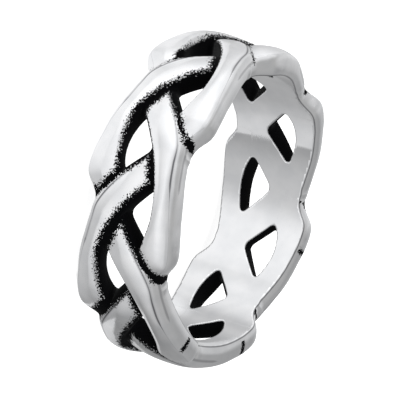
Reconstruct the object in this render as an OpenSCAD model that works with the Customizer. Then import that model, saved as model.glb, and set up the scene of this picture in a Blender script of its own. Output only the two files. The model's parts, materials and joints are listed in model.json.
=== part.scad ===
// Braided band ring: one strand of cast metal plaited round a finger bore.
// The strand runs round three times, over and under itself, and is fused into one
// piece at each crossing. The windows between the crossings go right through.
// The ring lies on one rim: its axis is Z and the middle of the band is at Z = 0.

/* [Ring] */
// Inner diameter, which is the finger size
inner_d = 19.8; // [15:0.1:23]
// Width of the band from the bulges of one rim to those of the other
band_w = 7.7; // [6:0.1:9]
// Thickness of the band from the bore to the crest of a strand
wall = 1.85; // [1.5:0.05:2.6]

/* [Braid] */
// Number of bulges along each rim
bights = 7; // [5:1:8]
// Width of a strand where it crosses the middle of the band
strand_w = 2.3; // [1.6:0.05:2.7]
// How far a strand's crest drops where another one passes over it
dip = 0.6; // [0.3:0.05:1]

/* [Edges] */
// Width of the rounded bevel along the rim side of a strand
bevel_w = 0.5; // [0.2:0.05:0.6]
// Width of the rounded shoulder along the window side of a strand
shoulder_w = 0.3; // [0.1:0.05:0.6]
// How much a strand's crest stands above its edges
crown = 0.12; // [0:0.02:0.3]
// How far a strand swells into the windows halfway up
belly = 0.16; // [0:0.02:0.25]

/* [Hidden] */

bore_r = inner_d / 2;
// Places along the band are counted in pitches, one pitch from bulge to bulge
pitch = 2 * PI * bore_r / bights;
// A strand goes from one rim to the other in one and a half pitches
crossing_over = 1.5;
// What a strand keeps below the bore's surface, to be cut off by the bore
root = 0.7;
// Cross-sections in the whole braid, and along one rim-to-rim course
all_sections = 462;
sections = round(all_sections / (2 * bights));

// One course of the strand, from where it lies under the strand that crosses near one rim
// to where it lies under the strand that crosses near the other rim. The columns are:
// along, in pitches after the middle of the band; the strand's rim side and window side
// at the bore, and how far its crest leans out over the window, as shares of its width;
// drop, 0 where it lies on top and 1 where it passes under; and bevel, the width of the
// rim side's bevel as a share of the named one.
ALONG = 0;
RIM_SIDE = 1;
WINDOW_SIDE = 2;
LEAN = 3;
DROP = 4;
BEVEL = 5;
COURSE = [
    [-0.24, 0.50, 0.40, 0.00, 1.00, 1.00],
    [-0.10, 0.49, 0.48, 0.00, 0.60, 1.00],
    [ 0.06, 0.49, 0.49, 0.00, 0.10, 1.00],
    [ 0.26, 0.46, 0.50, 0.00, 0.00, 1.00],
    [ 0.37, 0.31, 0.51, 0.00, 0.00, 1.00],
    [ 0.50, 0.23, 0.50, 0.00, 0.00, 0.95],
    [ 0.75, 0.28, 0.42, 0.07, 0.00, 0.65],
    [ 0.90, 0.39, 0.44, 0.12, 0.00, 0.45],
    [ 1.02, 0.48, 0.52, 0.06, 0.05, 0.50],
    [ 1.12, 0.38, 0.54, 0.03, 0.38, 0.80],
    [ 1.26, 0.40, 0.50, 0.00, 1.00, 0.90]
];

// Place of the bulge on the course, and how much the sway is squared off
bulge_at = 0.98;
squareness = 0.05;

// How the shoulder and the bevel round off: inset and fall, as shares of their widths
SHOULDER_STEPS = [[0.15, 0.5], [0.5, 0.15], [1, 0]];
BEVEL_STEPS = [[1, 0], [0.5, 0.35], [0, 1.25]];
// Height of the belly, as a share of the crest's
belly_at = 0.5;

// A smooth curve through one column of a table
function row_before(rows, x, i = 0) =
    i >= len(rows) - 2 || x < rows[i + 1][ALONG] ? i : row_before(rows, x, i + 1);
function slope_at(rows, col, i) =
    let (a = max(i - 1, 0), b = min(i + 1, len(rows) - 1))
    (rows[b][col] - rows[a][col]) / (rows[b][ALONG] - rows[a][ALONG]);
function look_up(rows, x, col) =
    let (i = row_before(rows, x))
    let (step = rows[i + 1][ALONG] - rows[i][ALONG])
    let (t = (x - rows[i][ALONG]) / step)
    rows[i][col] * (2 * t^3 - 3 * t^2 + 1) + slope_at(rows, col, i) * step * (t^3 - 2 * t^2 + t)
    + rows[i + 1][col] * (3 * t^2 - 2 * t^3) + slope_at(rows, col, i + 1) * step * (t^3 - t^2);

// The sway of the strand's middle line from rim to rim
turn = 180 / crossing_over;
function sway_shape(x) = sin(turn * x) + squareness * sin(3 * turn * x);
function sway_slope(x) = turn * PI / 180 * (cos(turn * x) + 3 * squareness * cos(3 * turn * x));
sway = (band_w / 2 - look_up(COURSE, bulge_at, RIM_SIDE) * strand_w) / sway_shape(bulge_at);
function middle(x) = [x * pitch, sway * sway_shape(x)];
function heading(x) =
    let (d = [pitch, sway * sway_slope(x)])
    d / norm(d);

// A point of the flat strand, wrapped round the bore
function wrapped(p, height) =
    let (r = bore_r + height, angle = p[0] / bore_r * 180 / PI)
    [r * cos(angle), r * sin(angle), p[1]];

// Cross-section at a place on the course, from the window side over the crest to the rim side
function section(x) =
    let (rim = look_up(COURSE, x, RIM_SIDE) * strand_w)
    let (foot = look_up(COURSE, x, WINDOW_SIDE) * strand_w)
    let (lean = look_up(COURSE, x, LEAN) * strand_w)
    let (window = foot + lean)
    let (bevel = look_up(COURSE, x, BEVEL) * bevel_w)
    let (crest = wall - dip * look_up(COURSE, x, DROP))
    let (edge = crest - crown)
    [
        [-foot, -root],
        [-foot - belly_at * lean - belly, belly_at * crest],
        for (step = SHOULDER_STEPS) [step[0] * shoulder_w - window, edge - step[1] * shoulder_w],
        [(rim - bevel - window + shoulder_w) / 2, crest],
        for (step = BEVEL_STEPS) [rim - step[0] * bevel, edge - step[1] * bevel],
        [rim, -root]
    ];

// One course of the strand, from rim to rim
module course() {
    first = COURSE[0][ALONG];
    last = COURSE[len(COURSE) - 1][ALONG];
    places = [for (i = [0 : sections]) first + (last - first) * i / sections];
    sides = len(section(0));
    points = [
        for (x = places)
            let (m = middle(x), d = heading(x))
            for (q = section(x)) wrapped(m + q[0] * [-d[1], d[0]], q[1])
    ];
    skin = [
        for (i = [0 : sections - 1], j = [0 : sides - 1])
            let (a = i * sides + j, b = i * sides + (j + 1) % sides)
            each [[a, b, b + sides], [a, b + sides, a + sides]]
    ];
    ends = [
        [for (j = [sides - 1 : -1 : 0]) j],
        [for (j = [0 : sides - 1]) sections * sides + j]
    ];
    polyhedron(points, concat(skin, ends), convexity = 6);
}

// The courses that swing to the upper rim, and the same ones turned over for the lower rim
module braid() {
    for (i = [0 : bights - 1]) {
        rotate(i * 360 / bights) course();
        rotate((i + 0.5) * 360 / bights) mirror([0, 0, 1]) course();
    }
}

module braided_band() {
    color([0.78, 0.78, 0.8])
        difference() {
            resize([0, 0, band_w]) braid();
            cylinder(h = 2 * band_w, r = bore_r, center = true, $fn = 180);
        }
}

braided_band();
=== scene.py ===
import json
import math

import bpy
import numpy as np
from mathutils import Matrix, Vector


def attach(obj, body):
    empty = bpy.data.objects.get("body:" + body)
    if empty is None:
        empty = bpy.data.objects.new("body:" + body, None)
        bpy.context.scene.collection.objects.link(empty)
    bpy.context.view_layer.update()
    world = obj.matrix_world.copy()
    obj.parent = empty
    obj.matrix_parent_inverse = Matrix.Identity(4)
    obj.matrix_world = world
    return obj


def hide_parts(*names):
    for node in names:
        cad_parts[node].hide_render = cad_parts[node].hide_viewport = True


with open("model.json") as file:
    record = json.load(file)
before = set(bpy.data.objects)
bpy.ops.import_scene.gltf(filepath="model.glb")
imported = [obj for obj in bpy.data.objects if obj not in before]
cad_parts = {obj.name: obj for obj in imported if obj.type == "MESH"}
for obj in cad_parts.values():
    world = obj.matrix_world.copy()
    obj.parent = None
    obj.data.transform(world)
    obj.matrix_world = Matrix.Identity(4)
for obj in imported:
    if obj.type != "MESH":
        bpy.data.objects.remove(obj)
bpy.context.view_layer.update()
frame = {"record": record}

# The visual model of the ring is one smooth surface, laid where a distance worked out from the courses
# of the braid is zero. Lengths are in millimetres and turned into metres when an object is made.
MM = 0.001

# The finger bore's radius and the band's width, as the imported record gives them
MOUNTS = {mount["name"]: mount["dims"] for mount in frame["record"]["mounts"]}
BORE_R = MOUNTS["finger_bore"]["r_mm"]
BAND_W = MOUNTS["finger_bore"]["length_mm"]

# The ring's other sizes, as in the part's source
BIGHTS = 7
WALL = 1.85
STRAND_W = 2.3
DIP = 0.6
BEVEL_W = 0.5
CROWN = 0.12
PITCH = 2 * math.pi * BORE_R / BIGHTS
# Pitches from rim to rim, the place of the bulge on a course, and how much the sway is squared off
CROSSING_OVER = 1.5
BULGE_AT = 0.98
SQUARENESS = 0.05

# One course of the strand from rim to rim, as in the part's source: along, in pitches after it crosses
# the middle of the band, then rim side, window side, lean, drop and bevel, as shares
COURSE = np.array([
    (-0.24, 0.50, 0.40, 0.00, 1.00, 1.00),
    (-0.10, 0.49, 0.48, 0.00, 0.60, 1.00),
    (0.06, 0.49, 0.49, 0.00, 0.10, 1.00),
    (0.26, 0.46, 0.50, 0.00, 0.00, 1.00),
    (0.37, 0.31, 0.51, 0.00, 0.00, 1.00),
    (0.50, 0.23, 0.50, 0.00, 0.00, 0.95),
    (0.75, 0.28, 0.42, 0.07, 0.00, 0.65),
    (0.90, 0.39, 0.44, 0.12, 0.00, 0.45),
    (1.02, 0.48, 0.52, 0.06, 0.05, 0.50),
    (1.12, 0.38, 0.54, 0.03, 0.38, 0.80),
    (1.26, 0.40, 0.50, 0.00, 1.00, 0.90),
])
ALONG, RIM_SIDE, WINDOW_SIDE, LEAN, DROP, BEVEL = COURSE.T
# How far a course runs on past both ends of the table, in pitches
RUN_ON = 0.03
# Between which places a course passes over others, and before and after which ones it passes under
OVER_FROM = 0.0
OVER_TO = 0.6
UNDER_BEFORE = 0.1
UNDER_AFTER = 0.8

# The strand's sides, rounder than in the part's source: the slope at which the bevel starts, its whole
# fall as a share of its width, its least width, the window side's swell halfway up, and the rim side's
# swell, with the share of it by which that side's edges stay back
BEVEL_START = 0.5
BEVEL_FALL = 1.25
LEAST_BEVEL = 0.1
BELLY = 0.15
RIM_SWELL = 0.2
RIM_BACK = 0.7

# Radii of the cast edges: the window shoulder, the crease of the bevel, the rim, the bore's edge
# and the fillet where strands meet
SHOULDER_R = 0.26
CREASE_R = 0.06
RIM_R = 0.18
BORE_EDGE_R = 0.05
FILLET_R = 0.2
# What the crease's and the rim's radii gain at the bulge
CREASE_GAIN = 0.3
RIM_GAIN = 0.2
# How much larger the fillet gets, as a share of itself, and the heights between which it grows downwards
FILLET_GAIN = 1.2
FILLET_GROWS = (1.5, 0.9)

# Widths of the black finish that the polishing left, in mm
# Along the window side of a course turned over: at first, what is lost before the bulge, and what is
# gained again at it
WINDOW_BLACK = 0.33
WINDOW_BLACK_LOSS = 0.27
WINDOW_BLACK_GAIN = 0.1
# Along the window side of the other courses, and how much sharper its border is there
UPPER_BLACK = 0.04
UPPER_SHARPER = 2.5
# What is gained low down in all windows
DOWN_BLACK = 0.4
# Along the rim side near the start of a course, what is gained at the start and lost further on
RIM_BLACK = 0.24
RIM_BLACK_GAIN = 0.33
RIM_BLACK_LOSS = 1.6
# Beside a strand that passes over, and what is gained there on the rim side after the bulge
COLLAR = 0.13
COLLAR_GAIN = 0.4
# What is polished away on the outside of the rims, and what more of it low down
RIM_POLISHED = 0.04
RIM_POLISHED_LOW = 0.3
# A course is black all over until so many pitches before the middle of the band, and the line where
# this ends slants across it
START_BLACK = 0.075
START_SLANT = 0.045
# Height up to which the bore's edge is bright, and how sharply the black starts above it
BORE_BRIGHT = 0.05
BORE_SHARPNESS = 12
# Shares of the wear round the ring, where it is less than 0, that a course turned over loses before the
# bulge and keeps after it
SPARED_LOSS = 0.6
SPARED_GAIN = 0.8

# The bulges whose rim still carries a black patch, the patch's place on the course, half its length,
# its lowest and highest point, and how sharp its border is
STAINED = (3, 4, 5)
STAIN_AT = 0.84
STAIN_HALF = 0.17
STAIN_LOW = 0.3
STAIN_HIGH = 1.45
STAIN_SHARPNESS = 2
# How much wider the blackening stayed in places round the ring: degrees from +X towards +Y, then mm
WEAR = np.array([
    (0, -0.1), (40, -0.4), (90, -0.4), (115, 0.05), (150, 0.05), (185, 0.5), (240, 0.2), (300, 0.0),
])

# Height above which the painted dark line in the crease is drawn, standing in for a dark reflection
# there, and how much faster that line ends where the crease is soft
CREASE_FROM = 0.5
CREASE_FADE = 20
# How far from the rim side the painted shade in the fold still shows, and how fast it ends beyond that
FOLD_REACH = 0.25
FOLD_FADE = 4
# Steps in the lay that give each course and each pitch its own scratches
COURSE_STEP = 20
PITCH_STEP = 7.0

# Spacing of the mesh
SPACING = 0.125
# How a point is moved onto the surface: the small step that the slope is measured over, the least square
# of the slope that is divided by, and the longest move
SLOPE_STEP = 0.004
LEAST_SQUARE = 0.05
LONGEST_MOVE = 0.1
# A distance beyond all that occur
FAR = 9.0

# The photograph's camera, fitted to both rims and the bore: its place in metres, the directions of the
# picture's right and down, and its focal length in mm
EYE = (-0.171538, 0.204925, 0.126084)
RIGHT = (0.47582, -0.13733, 0.86876)
DOWN = (-0.66112, -0.70730, 0.25029)
LENS = 376.1

# Half the floor's side, in metres
FLOOR_HALF = 1.5

# Colours of the metal where it is tarnished and where it is bright, of the painted shade and painted dark
# reflections in its creases, its fold and along the bore's edge, and of the darkest and palest grains of
# the oxide
TARNISHED = (0.86, 0.865, 0.875)
BRIGHT = (0.93, 0.93, 0.935)
PAINTED_SHADE_COLOUR = (0.10, 0.10, 0.11)
OXIDE_DARK = (0.0002, 0.0002, 0.0003)
OXIDE_PALE = (0.0018, 0.0018, 0.0022)

# The faint coolness of the studio's light
COOL = (1.0, 1.005, 1.015)
# The studio's brightness round the ring, as its polished metal mirrors it: degrees from +X towards +Y,
# then the brightness below and a little above the horizon
ROUND = (
    (0, 0.72, 0.60), (20, 0.80, 0.80), (40, 0.97, 0.82), (60, 1.12, 0.84), (84, 1.12, 0.92),
    (100, 0.92, 0.80), (125, 0.88, 0.60), (155, 0.86, 0.58), (180, 0.74, 0.54), (198, 0.62, 0.50),
    (212, 0.50, 0.46), (226, 0.33, 0.42), (250, 0.27, 0.38), (272, 0.30, 0.38), (304, 0.38, 0.34),
    (328, 0.68, 0.66), (342, 0.66, 0.62), (360, 0.72, 0.60),
)
# The angles above the horizon between which the lower brightness gives way to the upper one, and that
# to the brightness overhead
HORIZON = (-8, 24)
TO_OVERHEAD = (25, 80)
OVERHEAD = 0.44
# How the lower brightness changes with height: place between the two angles, and share of it
RISE_BETWEEN = (-90, 30)
RISE = ((0.0, 0.55), (0.25, 0.66), (0.40, 0.80), (0.54, 1.0), (0.66, 1.12), (0.80, 1.12))

# The reflector card: its radius, its depth below the floor and its number of corners
CARD_R = 24
CARD_DEPTH = 5
CARD_CORNERS = 64
# The middle that its shades are laid out round, and the shades: degrees round it, then the brightness
CARD_AT = (3.3, -3.9)
CARD = (
    (0, 0.60), (12, 0.56), (21, 0.60), (31, 0.80), (45, 0.90), (62, 0.93), (72, 0.86), (77, 0.86),
    (79, 0.92), (92, 0.97), (122, 0.97), (132, 0.86), (143, 0.64), (152, 0.57), (170, 0.53),
    (182, 0.46), (192, 0.38), (199.5, 0.36), (200.5, 0.68), (212, 0.68), (223, 0.63), (233, 0.54),
    (255, 0.42), (300, 0.40), (335, 0.45), (348, 0.55), (360, 0.60),
)
# A brighter round patch of it: the middle, the inner and outer radius, and how much brighter it is
GLOW_AT = (9.5, -4.0)
GLOW_R = (0.8, 4.2)
GLOW = 1.6

# The lamps' places in metres and their power in watts, and the sides of each
LAMPS = (("key", (-0.25, 0.05, 0.35), 2.6), ("fill", (0.2, 0.3, 0.3), 1.8))
LAMP_SIDES = (0.3, 0.25)


def ease(a, b, v):
    """0 up to a, 1 from b, and smooth between."""
    t = np.clip((v - a) / (b - a), 0, 1)
    return t * t * (3 - 2 * t)


def look_up(x, column):
    """A smooth curve through one column of COURSE."""
    slope = np.empty(len(ALONG))
    slope[1:-1] = (column[2:] - column[:-2]) / (ALONG[2:] - ALONG[:-2])
    slope[0] = (column[1] - column[0]) / (ALONG[1] - ALONG[0])
    slope[-1] = (column[-1] - column[-2]) / (ALONG[-1] - ALONG[-2])
    x = np.clip(x, ALONG[0], ALONG[-1])
    i = np.clip(np.searchsorted(ALONG, x, side="right") - 1, 0, len(ALONG) - 2)
    step = ALONG[i + 1] - ALONG[i]
    t = (x - ALONG[i]) / step
    return (
        column[i] * (2 * t**3 - 3 * t**2 + 1)
        + slope[i] * step * (t**3 - 2 * t**2 + t)
        + column[i + 1] * (3 * t**2 - 2 * t**3)
        + slope[i + 1] * step * (t**3 - t**2)
    )


TURN = math.pi / CROSSING_OVER


def sway_shape(x):
    """How far the strand has swung towards a rim, as a share of the full sway."""
    return np.sin(TURN * x) + SQUARENESS * np.sin(3 * TURN * x)


def sway_slope(x):
    """How fast it swings there."""
    return TURN * (np.cos(TURN * x) + 3 * SQUARENESS * np.cos(3 * TURN * x))


BULGE_SIDE = look_up(np.array([BULGE_AT]), RIM_SIDE)[0] * STRAND_W
SWAY = (BAND_W / 2 - BULGE_SIDE) / sway_shape(BULGE_AT)

# Places along a course, and where its middle line runs there
PLACES = np.linspace(ALONG[0] - RUN_ON, ALONG[-1] + RUN_ON, 160)
MIDDLE = np.stack([PLACES * PITCH, SWAY * sway_shape(PLACES)], 1)


def at_bulge(x):
    """0 before a course's bulge, 1 along it and a little less at the course's end."""
    return ease(0.5, 0.8, x) * ease(1.36, 1.22, x)


def rounded_both(a, b, r):
    """Distance to what two shapes share, with the edge between them rounded to radius r."""
    return np.minimum(np.maximum(a, b), -r) + np.hypot(np.maximum(a + r, 0), np.maximum(b + r, 0))


def filled_either(a, b, r):
    """Distance to the union of two shapes, with the corner between them filled to radius r."""
    return -rounded_both(-a, -b, r)


def section(x, w, h):
    """Distance to the strand at place x of its course, at w towards the rim and h above the bore."""
    rim = look_up(x, RIM_SIDE) * STRAND_W
    window = look_up(x, WINDOW_SIDE) * STRAND_W
    lean = look_up(x, LEAN) * STRAND_W
    crease = rim - look_up(x, BEVEL) * BEVEL_W
    crest = WALL - DIP * look_up(x, DROP)
    middle = (crease - window - lean) / 2
    half = (crease + window + lean) / 2
    up = h / crest
    swell = np.clip(1 - (2 * up - 1) ** 2, -1, 1)
    top = h - crest + CROWN * ((w - middle) / half) ** 2
    bevel = np.maximum(look_up(x, BEVEL) * BEVEL_W, LEAST_BEVEL)
    out = np.clip((w - crease) / bevel, 0, 1)
    steeper = BEVEL_FALL - BEVEL_START
    steep = BEVEL_START + 3 * steeper * out**2
    fall = bevel * (BEVEL_START * out + steeper * out**3) + steep * (w - crease - out * bevel)
    facet = (h - crest + CROWN + fall) / np.hypot(steep, 1)
    softer = at_bulge(x)
    f = rounded_both(top, facet, CREASE_R + CREASE_GAIN * softer)
    side = w - rim + RIM_SWELL * (RIM_BACK - swell)
    f = rounded_both(f, side, RIM_R + RIM_GAIN * softer)
    return rounded_both(f, -w - window - lean * up - BELLY * swell, SHOULDER_R)


def place_on(s, z):
    """The nearest place on a course, the distance from its middle line and that past its ends."""
    x = PLACES[((s[:, None] - MIDDLE[:, 0]) ** 2 + (z[:, None] - MIDDLE[:, 1]) ** 2).argmin(axis=1)]
    for _ in range(2):
        dz = SWAY * sway_slope(x)
        x = x + ((s - x * PITCH) * PITCH + (z - SWAY * sway_shape(x)) * dz) / (PITCH**2 + dz**2)
    x = np.clip(x, PLACES[0], PLACES[-1])
    dz = SWAY * sway_slope(x)
    length = np.hypot(PITCH, dz)
    a = s - x * PITCH
    b = z - SWAY * sway_shape(x)
    ahead = (a * PITCH + b * dz) / length
    w = (b * PITCH - a * dz) / length
    past = np.where(x >= PLACES[-1], ahead, np.where(x <= PLACES[0], -ahead, -FAR))
    return x, w, past


def near_courses(s, z):
    """The courses that reach into the first pitch: three upper ones, then two turned over."""
    upper = [place_on(s - n * PITCH, z) for n in (-1, 0, 1)]
    lower = [place_on(s - (n + 0.5) * PITCH, -z) for n in (-1, 0)]
    return upper + lower


def solid(courses, h):
    """Distance to the whole band's surface at h above the bore, less than 0 inside the metal."""
    f = None
    fillet = FILLET_R * (1 + FILLET_GAIN * ease(*FILLET_GROWS, h))
    for x, w, past in courses:
        g = np.maximum(section(x, w, h), past)
        f = g if f is None else filled_either(f, g, fillet)
    return rounded_both(f, -h, BORE_EDGE_R)


def distance(p):
    """Distance of each point of p to the whole band's surface."""
    return solid(near_courses(p[:, 0], p[:, 1]), p[:, 2])


def slope_of(p):
    """The distance of each point of p and its slope there."""
    f = distance(p)
    slope = np.empty_like(p)
    for k in range(3):
        q = p.copy()
        q[:, k] += SLOPE_STEP
        slope[:, k] = (distance(q) - f) / SLOPE_STEP
    return f, slope


def settle(p, rounds):
    """Moves points onto the surface."""
    for _ in range(rounds):
        f, slope = slope_of(p)
        move = f[:, None] * slope / np.maximum((slope**2).sum(axis=1), LEAST_SQUARE)[:, None]
        length = np.linalg.norm(move, axis=1)[:, None]
        p = p - move * np.minimum(1, LONGEST_MOVE / np.maximum(length, 1e-12))
    return p


def sampled():
    """A grid over one pitch and the distance at each of its points, with the first plane again last."""
    steps = round(PITCH / SPACING)
    s = np.arange(steps) * PITCH / steps
    # The grid runs past the metal on all sides, and none of its planes lies on the rims or on the bore
    z = np.arange(-BAND_W / 2 - 1.6 * SPACING, BAND_W / 2 + 2.6 * SPACING, SPACING)
    h = np.arange(-1.5 * SPACING, WALL + 2.5 * SPACING, SPACING)
    grid = np.stack(np.meshgrid(s, z, h, indexing="ij"), -1)
    courses = near_courses(grid[:, :, 0, 0].ravel(), grid[:, :, 0, 1].ravel())
    f = np.empty(grid.shape[:3])
    for k, height in enumerate(h):
        f[:, :, k] = solid(courses, np.full(steps * len(z), height)).reshape(steps, len(z))
    return np.concatenate([grid, grid[:1] + [PITCH, 0, 0]]), np.concatenate([f, f[:1]])


def one_pitch():
    """The surface over one pitch: its points, the four points of each quad, and the pitch that each of
    those lies in, 0 for this one and -1 for the one before."""
    grid, f = sampled()
    cells = tuple(size - 1 for size in f.shape)

    def corner(values, at):
        """What the grid holds at one corner of every cell."""
        return values[at[0]:at[0] + cells[0], at[1]:at[1] + cells[1], at[2]:at[2] + cells[2]]

    # One point in each cell that the surface passes through, in the middle of where it cuts the edges
    total = np.zeros(cells + (3,))
    count = np.zeros(cells)
    for at in np.ndindex(2, 2, 2):
        for axis in range(3):
            if at[axis]:
                continue
            to = tuple(v + (k == axis) for k, v in enumerate(at))
            a = corner(f, at)
            b = corner(f, to)
            cut = (a < 0) != (b < 0)
            share = np.where(cut, a / np.where(cut, a - b, 1), 0)[..., None]
            point = corner(grid, at) + share * (corner(grid, to) - corner(grid, at))
            total += np.where(cut[..., None], point, 0)
            count += cut
    crossed = count > 0
    number = np.full(cells, -1)
    number[crossed] = np.arange(crossed.sum())
    points = total[crossed] / count[crossed][:, None]

    # One quad round each edge that the surface cuts, between the points of the four cells beside it
    quads = []
    laps = []
    inside = f[:-1] < 0
    rings = (
        (0, ((0, -1, -1), (0, 0, -1), (0, 0, 0), (0, -1, 0))),
        (1, ((-1, 0, -1), (-1, 0, 0), (0, 0, 0), (0, 0, -1))),
        (2, ((-1, -1, 0), (0, -1, 0), (0, 0, 0), (-1, 0, 0))),
    )
    for axis, ring in rings:
        cut = inside != np.roll(inside, -1, axis=axis)
        i, j, k = np.nonzero(cut[:, 1:-1, 1:-1])
        j, k = j + 1, k + 1
        quad = np.stack([number[(i + a) % cells[0], j + b, k + c] for a, b, c in ring], 1)
        lap = np.stack([np.where(i + a < 0, -1, 0) for a, b, c in ring], 1)
        turned = ~inside[i, j, k]
        quad[turned] = quad[turned][:, ::-1]
        lap[turned] = lap[turned][:, ::-1]
        quads.append(quad)
        laps.append(lap)
    return points, np.concatenate(quads), np.concatenate(laps)


def spread_out(p, quads, laps, share):
    """Moves each point along the surface towards the middle of its neighbours."""
    total = np.zeros_like(p)
    count = np.zeros(len(p))
    for a in range(4):
        for b in ((a + 1) % 4, (a + 3) % 4):
            q = p[quads[:, b]]
            q[:, 0] += (laps[:, b] - laps[:, a]) * PITCH
            np.add.at(total, quads[:, a], q)
            np.add.at(count, quads[:, a], 1)
    move = total / count[:, None] - p
    slope = slope_of(p)[1]
    slope /= np.linalg.norm(slope, axis=1)[:, None]
    return p + share * (move - (move * slope).sum(axis=1)[:, None] * slope)


def own_course(courses, h):
    """Which of the near courses each point lies on, and its x and w on that one."""
    own = np.stack([np.maximum(section(x, w, h), past) for x, w, past in courses]).argmin(axis=0)
    column = np.arange(len(h))
    x, w = (np.stack([course[k] for course in courses])[own, column] for k in (0, 1))
    return own, x, w


def gap_beside(courses, own, x):
    """How far each point lies beside the strand that passes over its own one."""
    gap = np.full(len(x), FAR)
    for n, (x_over, w_over, _) in enumerate(courses):
        rim = look_up(x_over, RIM_SIDE) * STRAND_W
        window = (look_up(x_over, WINDOW_SIDE) + look_up(x_over, LEAN)) * STRAND_W
        beside = np.maximum(-w_over - window, w_over - rim)
        over = (n != own) & (x_over > OVER_FROM) & (x_over < OVER_TO)
        over = over & ((x > UNDER_AFTER) | (x < UNDER_BEFORE))
        gap = np.where(over, np.minimum(gap, beside), gap)
    return gap


def finish_of(p, slope):
    """What the material needs at each point of all pitches, in mm: how far inside the blackening it lies,
    how far from the bevel's crease and from the fold at its foot, and its place in the strand's lay."""
    s, z, h = p.T
    courses = near_courses(s, z)
    own, x, w = own_course(courses, h)
    turned_over = own > 2
    crest = WALL - DIP * look_up(x, DROP)
    up = np.clip(h / crest, 0, 1)
    rim = look_up(x, RIM_SIDE) * STRAND_W
    window = (look_up(x, WINDOW_SIDE) + look_up(x, LEAN) * up) * STRAND_W
    bevel = look_up(x, BEVEL) * BEVEL_W
    softer = at_bulge(x)

    # The blackening along the window side, along the rim side, beside a crossing and at the start
    wide = WINDOW_BLACK - WINDOW_BLACK_LOSS * ease(0.5, 0.75, x) + WINDOW_BLACK_GAIN * ease(0.8, 1.0, x)
    on_window = np.where(turned_over, wide - window - w, UPPER_SHARPER * (UPPER_BLACK - window - w))
    on_window = on_window + DOWN_BLACK * ease(0.8, 0.6, up)
    on_rim = w - rim + RIM_BLACK
    on_rim = on_rim + RIM_BLACK_GAIN * ease(0.24, -0.05, x) - RIM_BLACK_LOSS * ease(0.24, 0.40, x)
    under = COLLAR + COLLAR_GAIN * ease(0.1, 0.8, w) * ease(1.0, 1.1, x) - gap_beside(courses, own, x)
    start = (-START_BLACK - START_SLANT * w - x) * PITCH
    spared = SPARED_LOSS * ease(0.95, 0.7, x) - SPARED_GAIN * ease(0.95, 1.02, x)
    spared = np.where(turned_over, spared, 0)

    # The outside of the rims is polished cleaner, apart from the black patches
    outward = slope[:, 1] * np.sign(z) / np.linalg.norm(slope, axis=1)
    outside = ease(0.5, 0.8, outward) * ease(2.2, 2.6, np.abs(z))
    polished = (RIM_POLISHED + RIM_POLISHED_LOW * ease(0.9, 0.3, h)) * outside
    beside_stain = STAIN_HALF - np.abs(x - STAIN_AT) * PITCH
    stain = np.minimum.reduce([beside_stain, STAIN_HIGH - h, h - STAIN_LOW, outward - 0.5])

    black = []
    lay = []
    for n in range(BIGHTS):
        wear = np.interp(np.degrees((s + n * PITCH) / BORE_R), *WEAR.T, period=360)
        worn_window = on_window + np.minimum(wear, 0) * spared
        collar = under + wear * ease(0.6, 0.8, x)
        reach = np.maximum.reduce([worn_window, on_rim, collar, start])
        reach = (reach - polished) * (1 + outside)
        reach = np.minimum(reach, (h - BORE_BRIGHT) * BORE_SHARPNESS)
        if n in STAINED:
            reach = np.maximum(reach, stain * STAIN_SHARPNESS)
        black.append(np.clip(reach, -1, 1))
        lay.append(np.stack([x * PITCH + COURSE_STEP * own + PITCH_STEP * n, w, h], 1))

    # Distances to the bevel's crease and to the fold at its foot, along which the material paints shade
    # and dark reflections
    crease = (w - rim + bevel) * (1 + CREASE_FADE * softer)
    crease = np.where(h < CREASE_FROM, 1, np.clip(crease, -1, 1))
    fold = np.abs(crest - CROWN - BEVEL_FALL * bevel - h)
    fold = np.clip(fold + FOLD_FADE * np.maximum(rim - FOLD_REACH - w, 0) + softer, -1, 1)
    return {
        "blackening": np.concatenate(black),
        "crease": np.tile(crease, BIGHTS),
        "fold": np.tile(fold, BIGHTS),
        "lay": np.concatenate(lay),
    }


def wrapped(p, slope, n, to_width):
    """The points of pitch n wrapped round the bore, in mm, and the direction of their normals."""
    angle = (p[:, 0] + n * PITCH) / BORE_R
    out = np.stack([np.cos(angle), np.sin(angle)], 1)
    round_it = np.stack([-out[:, 1], out[:, 0]], 1)
    r = (BORE_R + p[:, 2])[:, None]
    flat = slope[:, 0:1] * BORE_R / r * round_it + slope[:, 2:3] * out
    points = np.concatenate([out * r, p[:, 1:2] * to_width], 1)
    return points, np.concatenate([flat, slope[:, 1:2] / to_width], 1)


def placed(name, data):
    """A new object in the scene."""
    thing = bpy.data.objects.new(name, data)
    bpy.context.scene.collection.objects.link(thing)
    return thing


def quad_mesh(name, points, faces, normals):
    """A smooth mesh of quads with normals of its own."""
    mesh = bpy.data.meshes.new(name)
    mesh.vertices.add(len(points))
    mesh.vertices.foreach_set("co", points.ravel())
    mesh.loops.add(faces.size)
    mesh.loops.foreach_set("vertex_index", faces.ravel())
    mesh.polygons.add(len(faces))
    mesh.polygons.foreach_set("loop_start", np.arange(len(faces)) * 4)
    mesh.polygons.foreach_set("use_smooth", np.ones(len(faces), bool))
    mesh.update(calc_edges=True)
    mesh.normals_split_custom_set_from_vertices(normals)
    return mesh


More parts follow.
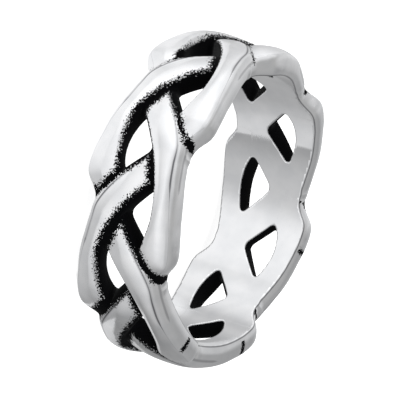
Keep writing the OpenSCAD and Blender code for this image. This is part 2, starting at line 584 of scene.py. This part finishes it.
def band():
    """The whole braided band as one closed mesh."""
    p, quads, laps = one_pitch()
    p = settle(p, 3)
    for _ in range(2):
        p = settle(spread_out(p, quads, laps, 0.5), 1)
    p = settle(p, 1)
    slope = slope_of(p)[1]
    to_width = BAND_W / 2 / abs(p[:, 1]).max()
    pitches = [wrapped(p, slope, n, to_width) for n in range(BIGHTS)]
    points = np.concatenate([pitch[0] for pitch in pitches]) * MM
    normals = np.concatenate([pitch[1] for pitch in pitches])
    normals /= np.linalg.norm(normals, axis=1)[:, None]
    faces = np.concatenate([quads + ((n + laps) % BIGHTS) * len(p) for n in range(BIGHTS)])
    mesh = quad_mesh("braided_band_skin", points, faces, normals)
    for name, values in finish_of(p, slope).items():
        kind, field = ("FLOAT_VECTOR", "vector") if values.ndim == 2 else ("FLOAT", "value")
        layer = mesh.attributes.new(name, kind, "POINT")
        layer.data.foreach_set(field, values.ravel())
    return placed("braided_band_skin", mesh)


class Nodes:
    """A short way to write a node tree."""

    def __init__(self, tree):
        self.tree = tree
        tree.nodes.clear()

    def add(self, kind, inputs=(), **settings):
        """A node with its settings, and each input linked to an output or set to a value."""
        node = self.tree.nodes.new(kind)
        for name, value in settings.items():
            setattr(node, name, value)
        for key, value in dict(inputs).items():
            if isinstance(value, bpy.types.NodeSocket):
                self.tree.links.new(value, node.inputs[key])
            else:
                node.inputs[key].default_value = value
        return node

    def math(self, operation, a, b=0.0):
        """What one operation makes of two numbers."""
        return self.add("ShaderNodeMath", {0: a, 1: b}, operation=operation).outputs[0]

    def ramp(self, value, stops):
        """A colour read off a row of stops, each a place from 0 to 1 and a colour."""
        node = self.add("ShaderNodeValToRGB", {0: value})
        points = node.color_ramp.elements
        while len(points) < len(stops):
            points.new(0.5)
        for point, (place, colour) in zip(points, stops):
            point.position = place
            point.color = (*colour, 1)
        return node.outputs[0]

    def range(self, value, a, b, c=0.0, d=1.0, smooth=False):
        """c up to a, d from b, and even or smooth between."""
        kind = "SMOOTHSTEP" if smooth else "LINEAR"
        inputs = {0: value, 1: a, 2: b, 3: c, 4: d}
        return self.add("ShaderNodeMapRange", inputs, interpolation_type=kind).outputs[0]

    def noise(self, vector, size, detail=2.0, roughness=0.5):
        """Noise whose features are about size across, in the vector's own unit."""
        inputs = {"Vector": vector, "Scale": 1 / size, "Detail": detail, "Roughness": roughness}
        return self.add("ShaderNodeTexNoise", inputs).outputs["Fac"]

    def attribute(self, name, output="Fac"):
        """What the mesh stores under a name."""
        return self.add("ShaderNodeAttribute", attribute_name=name).outputs[output]

    def stretched(self, vector, scale):
        """The vector with each of its parts made larger or smaller."""
        return self.add("ShaderNodeMapping", {"Vector": vector, "Scale": scale}).outputs[0]

    def mix(self, share, a, b):
        """A colour between two colours."""
        a, b = (c if isinstance(c, bpy.types.NodeSocket) else (*c, 1) for c in (a, b))
        return self.add("ShaderNodeMix", {0: share, 6: a, 7: b}, data_type="RGBA").outputs[2]


def node_material(name):
    """A new material and its empty node tree."""
    material = bpy.data.materials.new(name)
    material.use_nodes = True
    return material, Nodes(material.node_tree)


def oxidised_silver():
    """Polished silver with a black oxide that the polishing has left in the recesses, and painted dark
    reflections along its creases, its fold and the bore's edge.
    """
    material, n = node_material("oxidised_silver")
    place = n.add("ShaderNodeTexCoord").outputs["Object"]
    lay = n.attribute("lay", "Vector")
    above_bore = n.add("ShaderNodeSeparateXYZ", {0: lay}).outputs["Z"]
    scratches = n.noise(n.stretched(lay, (0.12, 1.0, 1.0)), 0.05, roughness=0.6)
    cloud = n.noise(place, 1.4 * MM)
    grain = n.noise(place, 0.06 * MM, roughness=0.7)

    # The oxide, with a border that is ragged on two scales
    ragged = n.noise(place, 0.15 * MM, detail=3.0, roughness=0.7)
    speck = n.noise(place, 0.09 * MM, detail=1.0)
    reach = n.math("ADD", n.attribute("blackening"), n.range(ragged, 0.3, 0.7, -0.17, 0.17))
    reach = n.math("ADD", reach, n.range(speck, 0.3, 0.7, -0.18, 0.18))
    black = n.range(reach, -0.015, 0.015, smooth=True)
    metal = n.math("SUBTRACT", 1.0, black)

    # A painted dark line in the crease that stands in for a dark reflection there, wider and narrower
    # along the strand, and painted shade beside it
    kept = n.noise(n.stretched(lay, (0.3, 0.0, 0.0)), 1.0, detail=1.0)
    off_crease = n.math("ABSOLUTE", n.attribute("crease"))
    line = n.math("SUBTRACT", n.range(kept, 0.40, 0.60, 0.04, 0.065), off_crease)
    line = n.math("MULTIPLY", n.range(line, -0.01, 0.02), n.range(kept, 0.38, 0.58, 0.5, 0.85))
    shade = n.range(off_crease, 0.03, 0.16, 0.3, 0.0, smooth=True)

    # Painted shade in the fold at the bevel's foot, and a painted dark line just above the bore that
    # stands in for the shade and dark reflection at the bore's edge
    fold_painted_shade = n.range(n.attribute("fold"), 0.03, 0.16, 0.4, 0.0, smooth=True)
    edge = n.range(above_bore, 0.07, 0.15, 0.7, 0.0, smooth=True)
    edge = n.math("MULTIPLY", n.range(above_bore, 0.01, 0.04), edge)
    painted_shade = n.math("MAXIMUM", n.math("MAXIMUM", line, shade), n.math("MAXIMUM", fold_painted_shade, edge))

    tint = n.mix(n.range(cloud, 0.35, 0.65), TARNISHED, BRIGHT)
    # The metal's colour darkened to the painted shade and painted dark reflections along the creases, the
    # fold and the bore's edge
    tint = n.mix(painted_shade, tint, PAINTED_SHADE_COLOUR)
    soot = n.mix(n.range(grain, 0.35, 0.7), OXIDE_DARK, OXIDE_PALE)

    # The bore is smoother than the worn outside, and the oxide is matt
    tarnish = n.range(cloud, 0.3, 0.7, 0.06, 0.12)
    worn = n.math("ADD", tarnish, n.range(scratches, 0.35, 0.7, 0.0, 0.06))
    shine = n.range(above_bore, 0.01, 0.06, 0.03, worn)
    matt = n.range(grain, 0.3, 0.7, 0.55, 0.9)
    rough = n.add("ShaderNodeMix", {0: black, 2: shine, 3: matt}, data_type="FLOAT").outputs[0]
    scratched = n.math("MULTIPLY", n.math("MULTIPLY", scratches, metal), 0.10)
    height = n.math("ADD", scratched, n.math("MULTIPLY", grain, black))
    bump = n.add("ShaderNodeBump", {"Strength": 0.5, "Distance": 0.03 * MM, "Height": height})
    shader = n.add("ShaderNodeBsdfPrincipled", {
        "Specular IOR Level": 0.03,
        "Base Color": n.mix(black, tint, soot),
        "Metallic": metal,
        "Roughness": rough,
        "Normal": bump.outputs[0],
    })
    n.add("ShaderNodeOutputMaterial", {"Surface": shader.outputs[0]})
    return material


def camera():
    """The photograph's camera, with a long lens."""
    data = bpy.data.cameras.new("camera")
    data.lens = LENS
    data.clip_start = 0.01
    data.clip_end = 20
    right = Vector(RIGHT).normalized()
    down = Vector(DOWN)
    down = (down - down.dot(right) * right).normalized()
    axes = Matrix((right, -down, right.cross(-down))).transposed().to_4x4()
    eye = placed("camera", data)
    eye.matrix_world = Matrix.Translation(EYE) @ axes
    bpy.context.scene.camera = eye


def floor():
    """A plain pale floor under the ring, which shines a little like a photographer's light table."""
    mesh = bpy.data.meshes.new("floor")
    z = -BAND_W / 2 * MM
    corners = [(x * FLOOR_HALF, y * FLOOR_HALF, z) for x, y in ((-1, -1), (1, -1), (1, 1), (-1, 1))]
    mesh.from_pydata(corners, [], [(0, 1, 2, 3)])
    material, n = node_material("floor")
    shader = n.add("ShaderNodeBsdfPrincipled", {
        "Base Color": (0.4, 0.4, 0.4, 1),
        "Roughness": 0.9,
        "Emission Color": (1, 1, 1, 1),
        "Emission Strength": 0.8,
    })
    n.add("ShaderNodeOutputMaterial", {"Surface": shader.outputs[0]})
    mesh.materials.append(material)
    sheet = placed("floor", mesh)
    # The metal mirrors the card and the studio below the floor, not the floor
    sheet.visible_glossy = False


def lamp(name, at, power):
    """A soft lamp aimed at the ring, which lights the floor and which the metal doesn't mirror."""
    data = bpy.data.lights.new(name, "AREA")
    data.shape = "RECTANGLE"
    data.size = LAMP_SIDES[0]
    data.size_y = LAMP_SIDES[1]
    data.energy = power
    thing = placed(name, data)
    thing.location = at
    thing.rotation_euler = (-Vector(at)).to_track_quat("-Z", "Y").to_euler()
    thing.visible_glossy = False


def turn_of(n, x, y):
    """How far round from +X towards +Y a place or direction lies, from 0 to 1."""
    turned = n.math("DIVIDE", n.math("ARCTAN2", y, x), 2 * math.pi)
    return n.math("FRACT", n.math("ADD", turned, 1.0))


def greys(rows, column=1):
    """The stops of a ramp from rows of degrees and brightness."""
    return [(row[0] / 360, tuple(row[column] * share for share in COOL)) for row in rows]


def card():
    """A reflector card a little below the floor, which only mirror rays see."""
    r = CARD_R * MM
    z = -(BAND_W / 2 + CARD_DEPTH) * MM
    angles = np.arange(CARD_CORNERS) * math.pi / (CARD_CORNERS / 2)
    mesh = bpy.data.meshes.new("card")
    corners = [(r * math.cos(a), r * math.sin(a), z) for a in angles]
    mesh.from_pydata(corners, [], [tuple(range(CARD_CORNERS))])
    material, n = node_material("card")
    place = n.add("ShaderNodeTexCoord").outputs["Object"]
    parts = n.add("ShaderNodeSeparateXYZ", {0: place}).outputs
    x, y = (n.math("SUBTRACT", parts[axis], at * MM) for axis, at in zip("XY", CARD_AT))
    colour = n.ramp(turn_of(n, x, y), greys(CARD))
    middle = (GLOW_AT[0] * MM, GLOW_AT[1] * MM, z)
    off = n.add("ShaderNodeVectorMath", {0: place, 1: middle}, operation="DISTANCE").outputs["Value"]
    glow = n.range(off, GLOW_R[0] * MM, GLOW_R[1] * MM, GLOW, 1.0, smooth=True)
    shine = n.add("ShaderNodeEmission", {"Color": colour, "Strength": glow}).outputs[0]
    n.add("ShaderNodeOutputMaterial", {"Surface": shine})
    mesh.materials.append(material)
    sheet = placed("card", mesh)
    for sight in ("camera", "diffuse", "shadow", "transmission", "volume_scatter"):
        setattr(sheet, "visible_" + sight, False)


def studio():
    """Soft light from all round, brighter on one side of the ring, and the lamps."""
    world = bpy.data.worlds.new("studio")
    bpy.context.scene.world = world
    world.use_nodes = True
    n = Nodes(world.node_tree)
    way = n.add("ShaderNodeTexCoord").outputs["Generated"]
    parts = n.add("ShaderNodeSeparateXYZ", {0: way}).outputs
    turned = turn_of(n, parts["X"], parts["Y"])
    tilt = n.math("ARCSINE", parts["Z"])

    def risen(degrees, smooth=True):
        """0 up to the first angle above the horizon, 1 from the second."""
        return n.range(tilt, *(math.radians(angle) for angle in degrees), smooth=smooth)

    gain = n.ramp(risen(RISE_BETWEEN, smooth=False), [(at, (value,) * 3) for at, value in RISE])
    low = n.ramp(turned, greys(ROUND, 1))
    low = n.add("ShaderNodeVectorMath", {0: low, 1: gain}, operation="MULTIPLY").outputs[0]
    high = n.ramp(turned, greys(ROUND, 2))
    sky = n.mix(risen(HORIZON), low, high)
    sky = n.mix(risen(TO_OVERHEAD), sky, (OVERHEAD,) * 3)
    back = n.add("ShaderNodeBackground", {"Color": sky, "Strength": 1.0})
    n.add("ShaderNodeOutputWorld", {"Surface": back.outputs[0]})
    for name, at, power in LAMPS:
        lamp(name, at, power)


camera()
floor()
card()
studio()
bpy.context.scene.view_settings.view_transform = "Standard"

skin = band()
skin.data.materials.append(oxidised_silver())
# The ring doesn't mirror itself, because its black windows would draw streaks on the bore
skin.visible_glossy = False
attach(skin, "root")
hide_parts("braided_band")
